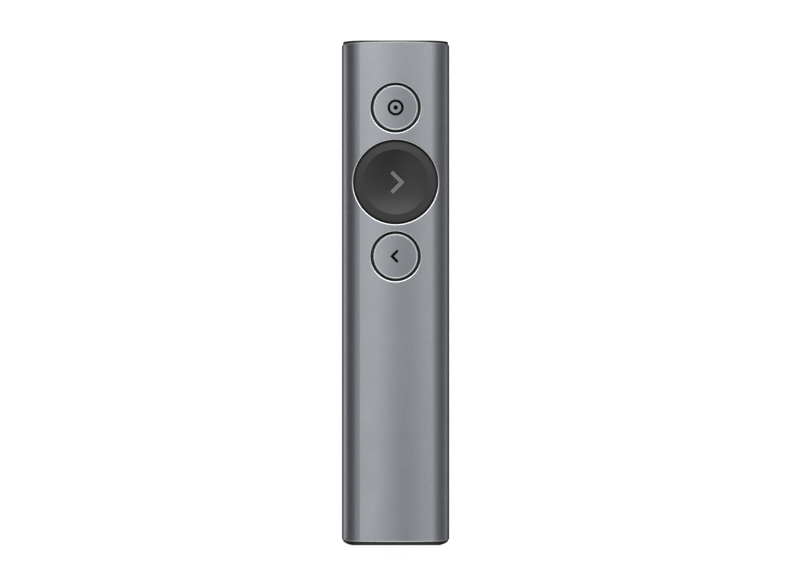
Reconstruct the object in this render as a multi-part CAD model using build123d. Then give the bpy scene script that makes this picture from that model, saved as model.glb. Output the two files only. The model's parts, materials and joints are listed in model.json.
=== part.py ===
from build123d import *
import math
import os

# Wireless presentation clicker: a flattened aluminium sleeve with three push buttons in its front,
# a nose cap, and a tail dock that stows a plug-in receiver over the charging port.
# Millimetres. X runs across, Y along with the nose at +Y, Z up through the buttons.
# The origin lies on the flat back, under the middle of the body.

# ---------------------------------------------------------------- driving dimensions

# Sleeve: one extrusion, flat at the back, round at the sides and crowned at the front, with a nose end that
# bows forward
sleeve_length = 130.0
sleeve_width = 28.1
sleeve_thickness = 11.9
sleeve_wall = 1.1
crown_radius = 75.0
nose_bow_radius = 280.0
sleeve_end_chamfer = 0.3
hole_edge_radius = 0.36

# Button holes, in a row from the nose: pointer, next, back
small_hole_radius = 6.4
large_hole_radius = 10.9
hole_web = 2.0
nose_to_holes = 10.8

# Button caps
small_button_gap = 0.62
large_button_gap = 0.35
button_proud = 0.2
button_travel = 0.5
under_cap_slack = 0.1
small_cap_height = 1.75
small_cap_crown_radius = 100.0
large_cap_height = 1.95
large_rim_drop = 0.8
large_crest_width = 2.1
large_dish_depth = 0.65
cap_chamfer = 0.22
cap_crown_thickness = 0.8

# Plungers, which carry the caps and slide in the button frame
small_boss_radius = 3.2
large_boss_radius = 6.0
guide_clearance = 0.08
glue_clearance = 0.05
flange_overlap = 0.9
flange_thickness = 0.7
flange_slack = 0.05
key_width = 1.2
key_depth = 0.7

# Dome switches
switch_width = 5.2
switch_floor = 0.3
switch_cover = 0.2
switch_slack = 0.05
actuator_radius = 1.1
actuator_disc = 0.15
actuator_disc_radius = 1.7
actuator_clearance = 0.1
actuator_spare = 0.2
dome_radius = 1.6
dome_thickness = 0.1

# Inner mouldings
slide_clearance = 0.12
moulding_wall = 0.8
frame_ledge = 0.9
runner_width = 1.2
runner_offset = 6.0
frame_margin = 2.0
frame_pin_radius = 0.9
frame_pin_depth = 1.9
post_wall = 0.85
post_offset = 9.0

# Main board and what it carries
board_thickness = 0.8
board_edge_gap = 0.35
board_end_gap = 0.25
screw_offset = 8.5
screw_inset = 2.9
screw_radius = 0.8
screw_head_radius = 1.4
screw_head_height = 0.7
screw_depth = 2.2
hole_clearance = 0.1
radio_chip_size = (6.0, 6.0, 0.9)
sensor_size = (3.0, 3.0, 0.9)
charger_chip_size = (3.0, 3.0, 0.8)
crystal_size = (3.2, 2.5, 0.7)
antenna_size = (7.0, 2.0, 1.0)
part_gap = 1.0
passive_size = (0.6, 1.0, 0.4)
passive_pitch = 1.6
passive_count = 5

# Battery
cell_width = 12.0
cell_length = 30.0
cell_edge_radius = 0.8
foam_thickness = 0.3
cell_headroom = 0.15
terrace_length = 3.4
terrace_thickness = 0.8
lead_radius = 0.4
lead_spacing = 4.0
lead_run = 5.0

# Vibration motor
motor_radius = 4.0
motor_height = 2.7
motor_skin = 0.2
motor_base = 0.25
motor_shaft_radius = 0.4
motor_running_gap = 0.1
rotor_thickness = 1.5
rotor_hub_radius = 1.1
rotor_clearance = 0.05

# End caps
nose_lip_depth = 0.3
tail_lip_depth = 1.0
lip_inset = 0.3
nose_shoulder_radius = 1.0
nose_shoulder_reach = 0.6
nose_roll_radius = 1.0
nose_roll_reach = 0.8
tail_shoulder_radius = 6.5
tail_shoulder_reach = 3.3
tail_roll_radius = 4.0
tail_roll_reach = 2.0
plug_depth = 4.0
plug_clearance = 0.06
plug_wall = 1.2
end_gap = 0.2

# Snap arm of the nose cap, and its window in the tray floor
arm_width = 8.0
arm_thickness = 0.8
arm_reach = 5.0
arm_clearance = 0.05
catch_width = 6.0
catch_length = 1.2
catch_depth = 0.7
catch_clearance = 0.15

# Receiver and the pocket that stows it
receiver_length = 40.6
receiver_width = 18.6
receiver_height = 6.3
receiver_corner = 1.5
receiver_wall = 0.9
receiver_end_round = 0.3
receiver_sink = 0.1
pocket_clearance = 0.2
pocket_end_gap = 0.5
pocket_wall = 0.9
pocket_floor = 1.0
dock_rib = 1.2
dock_ribs = 2
guide_rib_width = 1.0
guide_rib_clearance = 0.07
lug_thickness = 1.0
lug_width = 3.4
lug_tip = 1.8

# Type A plug of the receiver
plug_a_width = 12.0
plug_a_height = 4.5
plug_a_length = 18.75
plug_a_metal = 0.3
plug_a_buried = 3.0
plug_window = (2.4, 2.0)
plug_window_from_tip = 5.2
plug_window_spacing = 5.6
tongue_recess = 0.6
tongue_side_gap = 0.1
contact_width = 1.0
contact_thickness = 0.12
contact_from_tip = 1.6
contact_offsets = (1.0, 3.5)
contact_tail = 1.6

# Receiver insides and pull tab
receiver_board_width = 15.6
receiver_chip_size = (5.0, 5.0, 0.9)
tab_width = 8.0
tape_thickness = 0.45
tab_thickness = 1.7
tab_side_gap = 0.3
tab_notch_depth = 2.6
tab_notch_height = 3.4
tab_web = 1.0
tab_pin_overhang = 1.2
tab_pin_slack = 0.03

# Type C charging port
port_width = 8.94
port_height = 3.16
port_depth = 7.3
port_metal = 0.3
port_fit = 0.1
port_tongue_width = 6.69
port_tongue_thickness = 0.7
port_tongue_recess = 0.9
port_block = 2.2
port_foot_width = 1.1
port_foot_length = 1.4
port_foot_thickness = 0.2

# ---------------------------------------------------------------- places along the body

overall_length = sleeve_length + nose_lip_depth + tail_lip_depth
nose_y = overall_length / 2 - nose_lip_depth
tail_y = tail_lip_depth - overall_length / 2
pointer_y = nose_y - nose_to_holes - small_hole_radius
next_y = pointer_y - small_hole_radius - hole_web - large_hole_radius
back_y = next_y - large_hole_radius - hole_web - small_hole_radius

receiver_tail_y = tail_y - tail_lip_depth + receiver_sink
receiver_tip_y = receiver_tail_y + receiver_length
head_front_y = receiver_tip_y - plug_a_length
pocket_floor_y = receiver_tip_y + pocket_end_gap
dock_nose_y = pocket_floor_y + pocket_floor
port_end_y = pocket_floor_y + port_depth
port_inner_width = port_width - 2 * port_metal
port_inner_height = port_height - 2 * port_metal

stack_nose_y = nose_y - plug_depth - end_gap
stack_tail_y = dock_nose_y + board_end_gap
frame_tail_y = back_y - small_hole_radius - frame_margin
nose_screw_y = stack_nose_y - screw_inset
tail_screw_y = stack_tail_y + screw_inset
post_ys = (
    pointer_y - small_hole_radius - hole_web / 2,
    back_y + small_hole_radius + hole_web / 2,
)
cell_y = (next_y + back_y) / 2
catch_y = nose_y - plug_depth - arm_reach + catch_length

# ---------------------------------------------------------------- heights, from the front down

middle_z = sleeve_thickness / 2
button_top_z = sleeve_thickness + button_proud
small_cap_floor_z = button_top_z - small_cap_height
large_cap_floor_z = button_top_z - large_cap_height
small_recess_z = small_cap_floor_z - button_travel - under_cap_slack
large_recess_z = large_cap_floor_z - button_travel - under_cap_slack
frame_floor_z = large_recess_z - frame_ledge
flange_top_z = frame_floor_z - flange_slack
actuator_top_z = flange_top_z - flange_thickness
switch_top_z = actuator_top_z - button_travel - actuator_spare
actuator_floor_z = switch_top_z - switch_cover - switch_slack / 2 - actuator_disc
switch_pan_z = actuator_floor_z - button_travel - switch_slack / 2
board_top_z = switch_pan_z - switch_floor
board_floor_z = board_top_z - board_thickness
lug_floor_z = board_floor_z - lug_thickness
frame_inset = sleeve_wall + slide_clearance
tray_floor_z = frame_inset + moulding_wall
receiver_low_z = middle_z - receiver_height / 2
pocket_low_z = receiver_low_z - pocket_clearance
pocket_high_z = middle_z + receiver_height / 2 + pocket_clearance
upper_rib_z = middle_z + receiver_height / 2 + guide_rib_clearance
cell_floor_z = tray_floor_z + foam_thickness
rotor_floor_z = tray_floor_z + motor_base + 2 * motor_running_gap
cell_top_z = board_floor_z - cell_headroom

# Each button's place, hole, gap round its cap, plunger, and the heights of its cap's underside and of its
# seat in the frame
buttons = [
    {
        "name": name,
        "y": y,
        "hole": large_hole_radius if large else small_hole_radius,
        "gap": large_button_gap if large else small_button_gap,
        "boss": large_boss_radius if large else small_boss_radius,
        "cap_z": large_cap_floor_z if large else small_cap_floor_z,
        "recess_z": large_recess_z if large else small_recess_z,
        "large": large,
    }
    for name, y, large in (("pointer", pointer_y, False), ("next", next_y, True), ("back", back_y, False))
]

# ---------------------------------------------------------------- the sleeve's outline

# The side arcs meet the crown arc in a tangent, so their radius follows from the other sizes.
half_width = sleeve_width / 2
crown_centre_z = sleeve_thickness - crown_radius
crown_to_middle = middle_z - crown_centre_z
side_radius = (crown_radius**2 - half_width**2 - crown_to_middle**2) / (2 * (crown_radius - half_width))
side_centre_x = half_width - side_radius
back_centre_x = half_width - middle_z
crown_angle = math.degrees(math.atan2(crown_to_middle, side_centre_x))


def outline(inset):
    """The body's cross-section, moved inwards by inset all round."""
    side = side_radius - inset
    back = middle_z - inset
    return make_face(
        [
            Line((-back_centre_x, inset), (back_centre_x, inset)),
            CenterArc((back_centre_x, middle_z), back, -90, 90),
            CenterArc((side_centre_x, middle_z), side, 0, crown_angle),
            CenterArc((0, crown_centre_z), crown_radius - inset, crown_angle, 180 - 2 * crown_angle),
            CenterArc((-side_centre_x, middle_z), side, 180 - crown_angle, crown_angle),
            CenterArc((-back_centre_x, middle_z), back, 180, 90),
        ]
    )


def along(face, y_low, y_high):
    """A face drawn with X across and Z up, pulled out from y_low to y_high."""
    return extrude(Plane.XZ.offset(-y_high) * face, y_high - y_low)


def body(inset, y_low, y_high):
    return along(outline(inset), y_low, y_high)


def slab(z_low, z_high, y_low, y_high, width=sleeve_width):
    """A box centred on the body's length line, between two heights."""
    centre = Pos(0, (y_low + y_high) / 2, (z_low + z_high) / 2)
    return centre * Box(width, y_high - y_low, z_high - z_low)


def bar(width, height, radius, y_low, y_high, z=middle_z):
    """A bar with a rounded rectangular section, centred at height z."""
    return along(Pos(0, z) * RectangleRounded(width, height, radius), y_low, y_high)


def oval(width, height, y_low, y_high):
    """A bar at mid-height whose section has full round sides."""
    return along(Pos(0, middle_z) * SlotOverall(width, height), y_low, y_high)


def post(radius, z_low, z_high, x, y):
    return Pos(x, y, (z_low + z_high) / 2) * Cylinder(radius, z_high - z_low)


def chip(size, x, y, z):
    """A package standing on height z."""
    return Pos(x, y, z + size[2] / 2) * Box(*size)


def mirrored(shapes):
    """Each shape and its mirror image on the other side of the body."""
    return [copy for shape in shapes for copy in (shape, mirror(shape, Plane.YZ))]


# ---------------------------------------------------------------- sleeve and end caps


def make_sleeve():
    shape = body(0, tail_y, nose_y) - body(sleeve_wall, tail_y, nose_y)
    shape &= behind_bow()
    ends = [
        edge
        for face in (shape.faces().sort_by(Axis.Y)[0], shape.faces().sort_by(Axis.Y)[-1])
        for edge in face.outer_wire().edges()
    ]
    shape = chamfer(ends, sleeve_end_chamfer)
    for button in buttons:
        shape -= post(button["hole"], middle_z, button_top_z, 0, button["y"])
        shape = fillet(outer_rim(shape, button["hole"], button["y"]), hole_edge_radius)
    return shape


def behind_bow():
    """The space behind the bowed line of the nose end."""
    return post(nose_bow_radius, 0, sleeve_thickness, 0, nose_y - nose_bow_radius)


def outer_rim(shape, radius, y):
    """The edges where a round hole breaks through the sleeve's front surface."""
    rim = []
    for edge in shape.edges():
        middle = edge @ 0.5
        on_bore = (middle - Vector(0, y, middle.Z)).length < radius + hole_edge_radius
        at_front = edge.bounding_box().min.Z > outer_height(radius) - hole_edge_radius
        if on_bore and at_front:
            rim.append(edge)
    return rim


def outer_height(x):
    """Height of the sleeve's front surface at a distance from the middle."""
    crown_edge_x = side_centre_x * crown_radius / (crown_radius - side_radius)
    if abs(x) <= crown_edge_x:
        return crown_centre_z + math.sqrt(crown_radius**2 - x**2)
    return middle_z + math.sqrt(side_radius**2 - (abs(x) - side_centre_x) ** 2)


def rounded_end(width, y_end, radius, reach):
    """A long strip along the body whose corners at y_end are rounded over the last reach of each side."""
    length = 2 * sleeve_width
    centre_y = y_end - math.copysign(length / 2, y_end)
    return Pos(0, centre_y) * RectangleRounded(width - 2 * reach + 2 * radius, length, radius)


def make_lip(y_root, y_end, shoulder, roll):
    """The part of an end cap that stands proud of the sleeve. Seen from the front its shoulders are rounded,
    and seen from the side its rims are rolled, each by a radius and a reach."""
    y_low, y_high = sorted((y_root, y_end))
    plan = rounded_end(sleeve_width, y_end, *shoulder)
    side = Pos(0, 0, middle_z) * Rot(0, 90, 0) * rounded_end(sleeve_thickness, y_end, *roll)
    lip = body(lip_inset, y_low, y_high) & extrude(plan, sleeve_thickness)
    return lip & extrude(side, sleeve_width / 2, both=True)


def make_front_cap():
    plug_inset = sleeve_wall + plug_clearance
    plug = body(plug_inset, nose_y - plug_depth, nose_y)
    plug -= body(plug_inset + plug_wall, nose_y - plug_depth, nose_y - plug_wall)
    arm_floor_z = tray_floor_z + arm_clearance
    arm_tip_y = nose_y - plug_depth - arm_reach
    arm = slab(arm_floor_z, arm_floor_z + arm_thickness, arm_tip_y, nose_y - plug_wall, arm_width)
    ramp = Polyline(
        (catch_y, arm_floor_z),
        (catch_y, arm_floor_z - catch_depth),
        (catch_y - catch_length / 3, arm_floor_z - catch_depth),
        (catch_y - catch_length, arm_floor_z),
        close=True,
    )
    catch = extrude(Plane.YZ * make_face(ramp), catch_width / 2, both=True)
    bow_depth = nose_bow_radius - math.sqrt(nose_bow_radius**2 - half_width**2)
    shoulder = (nose_shoulder_radius, nose_shoulder_reach)
    roll = (nose_roll_radius, nose_roll_reach)
    lip = make_lip(nose_y - bow_depth, nose_y + nose_lip_depth, shoulder, roll)
    return lip - behind_bow() + plug + arm + catch


def make_dock():
    pocket_width = receiver_width + 2 * pocket_clearance
    pocket_height = receiver_height + 2 * pocket_clearance
    pocket_corner = receiver_corner + pocket_clearance
    tube = bar(
        pocket_width + 2 * pocket_wall,
        pocket_height + 2 * pocket_wall,
        pocket_corner + pocket_wall,
        tail_y,
        dock_nose_y,
    )
    shape = tube & body(frame_inset, tail_y, dock_nose_y)
    shape += body(frame_inset, pocket_floor_y, dock_nose_y)
    rib_step = (pocket_floor_y - tail_y - plug_depth) / (dock_ribs + 1)
    for n in range(dock_ribs):
        rib_y = tail_y + plug_depth + (n + 1) * rib_step
        shape += body(frame_inset, rib_y - dock_rib / 2, rib_y + dock_rib / 2)
    shape += body(sleeve_wall + plug_clearance, tail_y, tail_y + plug_depth)
    shoulder = (tail_shoulder_radius, tail_shoulder_reach)
    roll = (tail_roll_radius, tail_roll_reach)
    shape += make_lip(tail_y, tail_y - tail_lip_depth, shoulder, roll)
    shape -= bar(pocket_width, pocket_height, pocket_corner, tail_y - tail_lip_depth, pocket_floor_y)
    for x in (-receiver_width / 4, receiver_width / 4):
        lower = slab(pocket_low_z, receiver_low_z, tail_y + plug_depth, pocket_floor_y, guide_rib_width)
        upper = slab(upper_rib_z, pocket_high_z, tail_y + plug_depth, pocket_floor_y, guide_rib_width)
        shape += Pos(x, 0, 0) * lower
        shape += Pos(x, 0, 0) * upper
    shape -= oval(port_width + 2 * port_fit, port_height + 2 * port_fit, pocket_floor_y, dock_nose_y)
    lug_length = tail_screw_y + lug_tip - dock_nose_y
    lug = Pos(screw_offset, dock_nose_y + lug_length / 2, board_floor_z - lug_thickness / 2) * Box(
        lug_width, lug_length, lug_thickness
    )
    lug -= post(screw_radius + hole_clearance, lug_floor_z, board_floor_z, screw_offset, tail_screw_y)
    for piece in mirrored([lug]):
        shape += piece
    return shape


# ---------------------------------------------------------------- inner mouldings


def make_tray():
    """The lower moulding: a trough with screw bosses, pin sockets, a battery well and a motor ring."""
    envelope = body(frame_inset, stack_tail_y, stack_nose_y)
    envelope &= slab(0, board_floor_z, stack_tail_y, stack_nose_y)
    shape = envelope - body(frame_inset + moulding_wall, stack_tail_y, stack_nose_y)
    boss_radius = screw_radius + post_wall
    nose_boss = post(boss_radius, 0, board_floor_z, screw_offset, nose_screw_y)
    tail_boss = post(boss_radius, 0, lug_floor_z, screw_offset, tail_screw_y)
    sockets = [post(frame_pin_radius + post_wall, 0, board_floor_z, post_offset, y) for y in post_ys]
    for piece in mirrored([nose_boss, tail_boss, *sockets]):
        shape += piece & envelope
    stop_ys = (
        cell_y - cell_length / 2 - terrace_length - end_gap - moulding_wall,
        cell_y + cell_length / 2 + end_gap,
    )
    for y in stop_ys:
        shape += slab(frame_inset, cell_floor_z + foam_thickness, y, y + moulding_wall, cell_width)
    runner = slab(sleeve_wall, frame_inset, stack_tail_y, stack_nose_y, runner_width)
    for x in (-runner_offset, runner_offset):
        shape += Pos(x, 0, 0) * runner
    ring_radius = motor_radius + end_gap
    ring = post(ring_radius + moulding_wall, frame_inset, cell_floor_z, 0, pointer_y)
    shape += ring - post(ring_radius, tray_floor_z, cell_floor_z, 0, pointer_y)
    for y, top_z in ((nose_screw_y, board_floor_z), (tail_screw_y, lug_floor_z)):
        for piece in mirrored([post(screw_radius, top_z - screw_depth, top_z, screw_offset, y)]):
            shape -= piece
    socket_radius = frame_pin_radius + guide_clearance
    for y in post_ys:
        bore = post(socket_radius, board_floor_z - frame_pin_depth, board_floor_z, post_offset, y)
        for piece in mirrored([bore]):
            shape -= piece
    window_tail_y = catch_y - catch_length - catch_clearance
    window_width = catch_width + 2 * catch_clearance
    return shape - slab(0, tray_floor_z, window_tail_y, catch_y + catch_clearance, window_width)


def make_frame():
    """The upper moulding: a crowned plate on side skirts, with a guide bore and a sunk seat per button."""
    shape = body(frame_inset, frame_tail_y, stack_nose_y)
    shape &= slab(board_top_z, sleeve_thickness, frame_tail_y, stack_nose_y)
    hollow = body(frame_inset + moulding_wall, frame_tail_y, stack_nose_y)
    shape -= hollow & slab(board_top_z, frame_floor_z, frame_tail_y, stack_nose_y)
    for button in buttons:
        shape -= post(button["hole"], button["recess_z"], sleeve_thickness, 0, button["y"])
        shape -= post(button["boss"] + guide_clearance, frame_floor_z, sleeve_thickness, 0, button["y"])
        shape -= make_key(button, guide_clearance, frame_floor_z, sleeve_thickness)
    pin_floor_z = board_floor_z - frame_pin_depth + end_gap
    for y in post_ys:
        for piece in mirrored([post(frame_pin_radius, pin_floor_z, frame_floor_z, post_offset, y)]):
            shape += piece
    return shape


# ---------------------------------------------------------------- buttons


def make_key(button, clearance, z_low, z_high):
    """The rib on a plunger's nose side that keeps the button from turning, or its groove."""
    reach = button["boss"] + key_depth + clearance
    width = key_width + 2 * clearance
    return Pos(0, button["y"] + reach / 2, (z_low + z_high) / 2) * Box(width, reach, z_high - z_low)


def socket_top_z(button):
    """Height at which a plunger meets the inside of its cap."""
    if button["large"]:
        return button_top_z - large_dish_depth - cap_crown_thickness
    return button_top_z - cap_crown_thickness


def make_cap(button):
    radius = button["hole"] - button["gap"]
    cap = make_large_front(radius) if button["large"] else make_small_front(radius)
    cap -= post(button["boss"] + glue_clearance, button["cap_z"], socket_top_z(button), 0, 0)
    return Pos(0, button["y"], 0) * cap


def make_small_front(radius):
    """A disc crowned like the sleeve but a little flatter and proud of it, with a bright-cut rim."""
    front_centre = Pos(0, 0, button_top_z - small_cap_crown_radius)
    front = front_centre * Rot(90, 0, 0) * Cylinder(small_cap_crown_radius, 4 * radius)
    cap = post(radius, small_cap_floor_z, button_top_z + button_proud, 0, 0) & front
    rim = cap.edges().filter_by_position(Axis.Z, small_cap_floor_z + small_cap_height / 2, button_top_z)
    return chamfer(rim, cap_chamfer)


def make_large_front(radius):
    """A turned disc with a sloping rim round a dish."""
    shoulder_x = radius - cap_chamfer
    crest = radius - large_crest_width
    dish_z = button_top_z - large_dish_depth
    rim_z = button_top_z - large_rim_drop
    floor_z = large_cap_floor_z
    profile = make_face(
        [
            ThreePointArc((0, dish_z), dish_point(crest / 2, crest), (crest, button_top_z)),
            Polyline(
                (crest, button_top_z),
                (shoulder_x, rim_z),
                (radius, rim_z - cap_chamfer),
                (radius, floor_z),
                (0, floor_z),
                (0, dish_z),
            ),
        ]
    )
    return revolve(Plane.XZ * profile, Axis.Z)


def dish_point(x, crest):
    """A point on the dish's arc, which passes through the middle and the crest."""
    dish_radius = (crest**2 + large_dish_depth**2) / (2 * large_dish_depth)
    return (x, button_top_z - large_dish_depth + dish_radius - math.sqrt(dish_radius**2 - x**2))


def make_plunger(button):
    boss = post(button["boss"], flange_top_z, socket_top_z(button), 0, button["y"])
    flange_radius = button["boss"] + guide_clearance + flange_overlap
    flange = post(flange_radius, actuator_top_z, flange_top_z, 0, button["y"])
    key = make_key(button, 0, flange_top_z, button["recess_z"])
    return boss + flange + key


def make_switch(button):
    y = button["y"]
    height = switch_top_z - board_top_z
    case = Pos(0, y, board_top_z + height / 2) * Box(switch_width, switch_width, height)
    case = chamfer(case.edges().filter_by(Axis.Z), switch_width / 10)
    pan_radius = actuator_disc_radius + actuator_clearance
    case -= post(pan_radius, switch_pan_z, switch_top_z - switch_cover, 0, y)
    return case - post(actuator_radius + actuator_clearance, switch_pan_z, switch_top_z, 0, y)


def make_actuator(button):
    stem = post(actuator_radius, actuator_floor_z, actuator_top_z, 0, button["y"])
    disc = post(actuator_disc_radius, actuator_floor_z, actuator_floor_z + actuator_disc, 0, button["y"])
    return stem + disc


def make_dome(button):
    """A thin snap dome, standing on the switch's pan and reaching up to the actuator."""
    rise = actuator_floor_z - switch_pan_z
    outer_radius = (dome_radius**2 + rise**2) / (2 * rise)
    centre = Pos(0, button["y"], actuator_floor_z - outer_radius)
    ball = centre * Sphere(outer_radius) - centre * Sphere(outer_radius - dome_thickness)
    return ball & post(dome_radius, switch_pan_z, actuator_floor_z, 0, button["y"])


# ---------------------------------------------------------------- board, battery and motor


def make_board():
    half = half_width - frame_inset - board_edge_gap + slide_clearance
    shape = slab(board_floor_z, board_top_z, stack_tail_y, stack_nose_y, 2 * half)
    notch_width = port_width + 2 * port_fit
    notch_end_y = pocket_floor_y + port_depth + port_fit
    shape -= slab(board_floor_z, board_top_z, stack_tail_y, notch_end_y, notch_width)
    holes = [(screw_radius, screw_offset, y) for y in (nose_screw_y, tail_screw_y)]
    holes += [(frame_pin_radius, post_offset, y) for y in post_ys]
    for radius, x, y in holes:
        for piece in mirrored([post(radius + hole_clearance, board_floor_z, board_top_z, x, y)]):
            shape -= piece
    return shape


def make_screws():
    """Four pan-head screws: the tail pair also clamps the dock's lugs."""
    screws = []
    for y, boss_z in ((nose_screw_y, board_floor_z), (tail_screw_y, lug_floor_z)):
        shank = post(screw_radius, boss_z - screw_depth + end_gap, board_top_z, screw_offset, y)
        head = post(screw_head_radius, board_top_z, board_top_z + screw_head_height, screw_offset, y)
        head = fillet(head.edges().sort_by(Axis.Z)[-1], screw_head_height / 2)
        screws.append(shank + head)
    return Compound(mirrored(screws))


def make_port_shell():
    shape = oval(port_width, port_height, pocket_floor_y, port_end_y)
    shape -= oval(port_inner_width, port_inner_height, pocket_floor_y, port_end_y - port_metal)
    foot_y = stack_tail_y + board_end_gap + port_foot_length / 2
    for y in (foot_y, port_end_y - port_foot_length):
        foot = Pos((port_width + port_foot_width) / 2, y, board_top_z + port_foot_thickness / 2) * Box(
            port_foot_width + 2 * port_fit + port_metal, port_foot_length, port_foot_thickness
        )
        for piece in mirrored([foot]):
            shape += piece
    return shape


def make_port_tongue():
    back = port_end_y - port_metal
    block = oval(port_inner_width, port_inner_height, back - port_block, back)
    tongue = bar(
        port_tongue_width,
        port_tongue_thickness,
        port_tongue_thickness / 3,
        pocket_floor_y + port_tongue_recess,
        back - port_block,
    )
    return block + tongue


def make_cell():
    centre_z = (cell_floor_z + cell_top_z) / 2
    pouch = Pos(0, cell_y, centre_z) * Box(cell_width, cell_length, cell_top_z - cell_floor_z)
    return fillet(pouch.edges().filter_by(Axis.Y), cell_edge_radius)


def make_foam():
    """The pad that the cell is stuck down on."""
    width = cell_width - 2 * cell_edge_radius
    return slab(tray_floor_z, cell_floor_z, cell_y - cell_length / 2, cell_y + cell_length / 2, width)


def make_protection_board():
    tail = cell_y - cell_length / 2
    return slab(cell_floor_z, cell_floor_z + terrace_thickness, tail - terrace_length, tail, cell_width)


def make_leads():
    """Two wires that leave the protection board, lie along the tray and rise to the board's underside."""
    z = cell_floor_z + terrace_thickness + lead_radius
    start_y = cell_y - cell_length / 2 - terrace_length / 2
    rise = board_floor_z - z
    end_y = start_y - lead_run
    bend = 0.45 * min(rise, lead_run)
    route = FilletPolyline((0, start_y, z), (0, end_y, z), (0, end_y, board_floor_z), radius=bend)
    wire = sweep(Plane(route @ 0, z_dir=route % 0) * Circle(lead_radius), route)
    return Compound([Pos(x, 0, 0) * wire for x in (-lead_spacing / 2, lead_spacing / 2)])


def make_motor_can():
    floor_z = tray_floor_z + motor_base
    top_z = tray_floor_z + motor_height
    can = post(motor_radius, floor_z, top_z, 0, pointer_y)
    can = fillet(can.edges().sort_by(Axis.Z)[-1], motor_skin)
    return can - post(motor_radius - motor_skin, floor_z, top_z - motor_skin, 0, pointer_y)


def make_motor_base():
    plate = post(motor_radius, tray_floor_z, tray_floor_z + motor_base, 0, pointer_y)
    washer = post(rotor_hub_radius, tray_floor_z, rotor_floor_z, 0, pointer_y)
    shaft_top_z = tray_floor_z + motor_height - motor_skin - motor_running_gap
    return plate + washer + post(motor_shaft_radius, tray_floor_z, shaft_top_z, 0, pointer_y)


def make_rotor():
    """An eccentric half disc on a hub, free to spin on the motor's shaft."""
    top_z = rotor_floor_z + rotor_thickness
    radius = motor_radius - motor_skin - 2 * motor_running_gap
    disc = post(radius, rotor_floor_z, top_z, 0, pointer_y)
    weight = disc & slab(rotor_floor_z, top_z, pointer_y, pointer_y + radius)
    hub = post(rotor_hub_radius, rotor_floor_z, top_z, 0, pointer_y)
    return weight + hub - post(motor_shaft_radius + rotor_clearance, rotor_floor_z, top_z, 0, pointer_y)


def make_passives():
    """Two rows of small parts beside the radio chip."""
    start_y = radio_y - (passive_count - 1) * passive_pitch / 2
    x = radio_chip_size[0] / 2 + passive_pitch
    row = [chip(passive_size, x, start_y + n * passive_pitch, board_top_z) for n in range(passive_count)]
    return Compound(mirrored(row))


# ---------------------------------------------------------------- receiver

hollow_tail_y = receiver_tail_y + tab_notch_depth + tab_web
hollow_nose_y = head_front_y - receiver_wall
tab_pin_y = hollow_tail_y + tab_thickness
receiver_board_tail_y = tab_pin_y + tab_thickness


def make_receiver_shell(upper):
    """Half of the receiver's head, split at mid-height."""
    head = bar(receiver_width, receiver_height, receiver_corner, receiver_tail_y, head_front_y)
    tail_rim = head.faces().sort_by(Axis.Y)[0].edges()
    head = fillet(tail_rim, receiver_end_round)
    head -= bar(
        receiver_width - 2 * receiver_wall,
        receiver_height - 2 * receiver_wall,
        receiver_corner - receiver_wall / 2,
        hollow_tail_y,
        hollow_nose_y,
    )
    notch_width = tab_width + 2 * tab_side_gap
    notch_end_y = receiver_tail_y + tab_notch_depth
    head -= bar(notch_width, tab_notch_height, tape_thickness, receiver_tail_y, notch_end_y)
    slot_height = tab_thickness + 2 * tab_pin_slack
    head -= bar(notch_width, slot_height, tape_thickness / 2, receiver_tail_y, hollow_tail_y)
    head -= bar(plug_a_width, plug_a_height, plug_a_metal, hollow_nose_y, head_front_y)
    z_low, z_high = (middle_z, sleeve_thickness) if upper else (0, middle_z)
    half = head & slab(z_low, z_high, receiver_tail_y, head_front_y)
    pin_radius = tab_thickness / 2 - tape_thickness - tab_pin_slack
    holder_height = receiver_height / 2 - receiver_wall
    for x in (-1, 1):
        holder = Pos(x * (tab_width / 2 + tab_side_gap + tab_pin_overhang / 2), tab_pin_y, 0) * Box(
            tab_pin_overhang, 4 * pin_radius, 2 * holder_height
        )
        half += Pos(0, 0, middle_z) * holder & slab(z_low, z_high, receiver_tail_y, head_front_y)
    return half - make_tab_pin(tab_pin_slack)


def make_tab_pin(clearance=0.0):
    """The steel pin that the pull tab loops round, or its seat in the shells."""
    radius = tab_thickness / 2 - tape_thickness - tab_pin_slack + clearance
    length = tab_width + 2 * tab_side_gap + 2 * tab_pin_overhang
    return Pos(0, tab_pin_y, middle_z) * Rot(0, 90, 0) * Cylinder(radius, length)


def make_pull_tab():
    """A woven tape, closed in a flat loop from the pin to the receiver's end."""
    tab_end_y = receiver_tail_y
    loop_nose_y = tab_pin_y + tab_thickness / 2
    centre = Plane.YZ * Pos((tab_end_y + loop_nose_y) / 2, middle_z)
    length = loop_nose_y - tab_end_y
    loop = SlotOverall(length, tab_thickness)
    loop -= SlotOverall(length - 2 * tape_thickness, tab_thickness - 2 * tape_thickness)
    return extrude(centre * loop, tab_width / 2, both=True)


def make_plug_shell():
    y_low = head_front_y - plug_a_buried
    inner_width = plug_a_width - 2 * plug_a_metal
    inner_height = plug_a_height - 2 * plug_a_metal
    shape = bar(plug_a_width, plug_a_height, plug_a_metal, y_low, receiver_tip_y)
    shape -= bar(inner_width, inner_height, tongue_side_gap, y_low, receiver_tip_y)
    window_y = receiver_tip_y - plug_window_from_tip
    for x in (-plug_window_spacing / 2, plug_window_spacing / 2):
        shape -= Pos(x, window_y, middle_z) * Box(*plug_window, plug_a_height)
    return shape


def make_plug_tongue():
    width = plug_a_width - 2 * plug_a_metal - 2 * tongue_side_gap
    top_z = middle_z + plug_a_height / 2 - plug_a_metal
    y_low = head_front_y - plug_a_buried
    return slab(middle_z + contact_thickness, top_z, y_low, receiver_tip_y - tongue_recess, width)


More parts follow.
